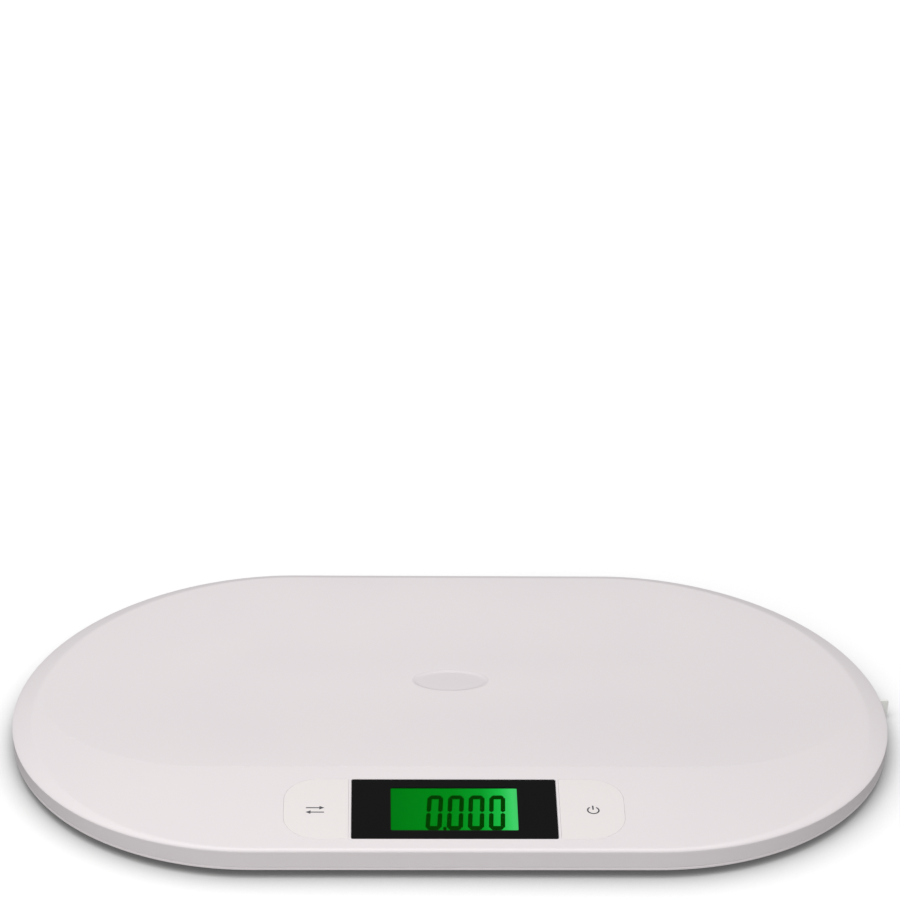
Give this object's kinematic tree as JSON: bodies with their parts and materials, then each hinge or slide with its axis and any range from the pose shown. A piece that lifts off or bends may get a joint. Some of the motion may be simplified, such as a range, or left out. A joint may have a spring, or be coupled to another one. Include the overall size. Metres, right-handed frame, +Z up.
{
  "type": "digital baby weighing scale",
  "caption": "Low oval tray scale with a shallow dish, a lit green display between two half-moon keys, and a measuring tape that pulls out of one end.",
  "frame": {"origin": "on the floor plane under the middle of the tray's outline, without the tape's tab", "axes": "+X along the tray towards the end where the tape comes out, -Y towards the user and the display, +Z up"},
  "size_m": [0.556, 0.325, 0.0196],
  "materials": {
    "shell_white": "satin white moulded ABS with a faint pink cast",
    "cover_white": "fine spark-eroded white ABS",
    "key_white": "satin white moulded ABS",
    "window_black": "smoked acrylic, polished",
    "lcd_green": "green backlit liquid crystal glass",
    "light_guide": "clear moulded light guide",
    "frame_grey": "pale grey moulded polypropylene",
    "board_green": "green solder mask",
    "chip_black": "black moulded resin",
    "spring_steel": "bright nickel plate",
    "cell_steel": "stamped steel, plain",
    "pad_rubber": "matte grey rubber",
    "reel_white": "natural acetal",
    "tape_white": "white coated cloth tape",
    "battery_sleeve": "printed metal sleeve, plain",
    "lead_grey": "grey cable jacket"
  },
  "bodies": {
    "scale_body": {"backlight_panel": "light_guide", "battery_bridge": "spring_steel", "battery_cell_back": "battery_sleeve", "battery_cell_front": "battery_sleeve", "battery_lead": "lead_grey", "battery_minus_contact": "spring_steel", "battery_plus_contact": "spring_steel", "bottom_cover": "cover_white", "controller_chip": "chip_black", "converter_chip": "chip_black", "cover_screw_1": "spring_steel", "cover_screw_2": "spring_steel", "cover_screw_3": "spring_steel", "cover_screw_4": "spring_steel", "cover_screw_5": "spring_steel", "cover_screw_6": "spring_steel", "cover_screw_7": "spring_steel", "cover_screw_8": "spring_steel", "display_window": "window_black", "foot_cap_back_left": "frame_grey", "foot_cap_back_right": "frame_grey", "foot_cap_front_left": "frame_grey", "foot_cap_front_right": "frame_grey", "foot_pad_back_left": "pad_rubber", "foot_pad_back_right": "pad_rubber", "foot_pad_front_left": "pad_rubber", "foot_pad_front_right": "pad_rubber", "lcd_glass": "lcd_green", "lcd_holder": "frame_grey", "load_cell_back_left": "cell_steel", "load_cell_back_right": "cell_steel", "load_cell_front_left": "cell_steel", "load_cell_front_right": "cell_steel", "load_cell_lead_back_left": "lead_grey", "load_cell_lead_back_right": "lead_grey", "load_cell_lead_front_left": "lead_grey", "load_cell_lead_front_right": "lead_grey", "main_board": "board_green", "tape_button_spring": "spring_steel", "tape_case": "reel_white", "tape_return_spring": "spring_steel", "tare_switch": "chip_black", "top_shell": "shell_white", "unit_switch": "chip_black"},
    "tare_key": {"tare_key": "key_white", "tare_switch_stem": "frame_grey"},
    "unit_key": {"unit_key": "key_white", "unit_switch_stem": "frame_grey"},
    "tape_button": {"tape_button": "key_white", "tape_brake": "chip_black"},
    "tape_reel": {"tape_drum": "reel_white", "tape_pack": "tape_white"},
    "tape_end": {"tape_end_tab": "tape_white", "tape_strip": "tape_white"},
    "battery_door": {"battery_door": "cover_white"}
  },
  "joints": [
    {"name": "tare_key_press", "type": "slide", "parent": "scale_body", "child": "tare_key", "axis": [0, 0, -1], "range_m": [0, 0.0006], "stiffness_N_per_m": 2500, "springref_m": -0.0002},
    {"name": "unit_key_press", "type": "slide", "parent": "scale_body", "child": "unit_key", "axis": [0, 0, -1], "range_m": [0, 0.0006], "stiffness_N_per_m": 2500, "springref_m": -0.0002},
    {"name": "tape_button_press", "type": "slide", "parent": "scale_body", "child": "tape_button", "axis": [0, 0, 1], "range_m": [0, 0.0012], "stiffness_N_per_m": 1200, "springref_m": -0.0004, "deforming": ["tape_button_spring"]},
    {"name": "reel_spin", "type": "hinge", "parent": "scale_body", "child": "tape_reel", "pos_m": [0.234, 0.01595, 0.00915], "axis": [0, 0, 1], "range_deg": [0, 5900], "deforming": ["tape_return_spring"]},
    {"name": "tape_pull", "type": "slide", "parent": "scale_body", "child": "tape_end", "axis": [1, 0, 0], "range_m": [0, 1.46], "deforming": ["tape_strip"]},
    {"name": "battery_door_tilt", "type": "hinge", "parent": "scale_body", "child": "battery_door", "pos_m": [-0.13825, -0.0945, 0.003], "axis": [1, 0, 0], "range_deg": [0, 90]}
  ],
  "couplings": [
    {"joint": "tape_pull", "follows": "reel_spin", "m_per_rad": 0.01415}
  ]
}
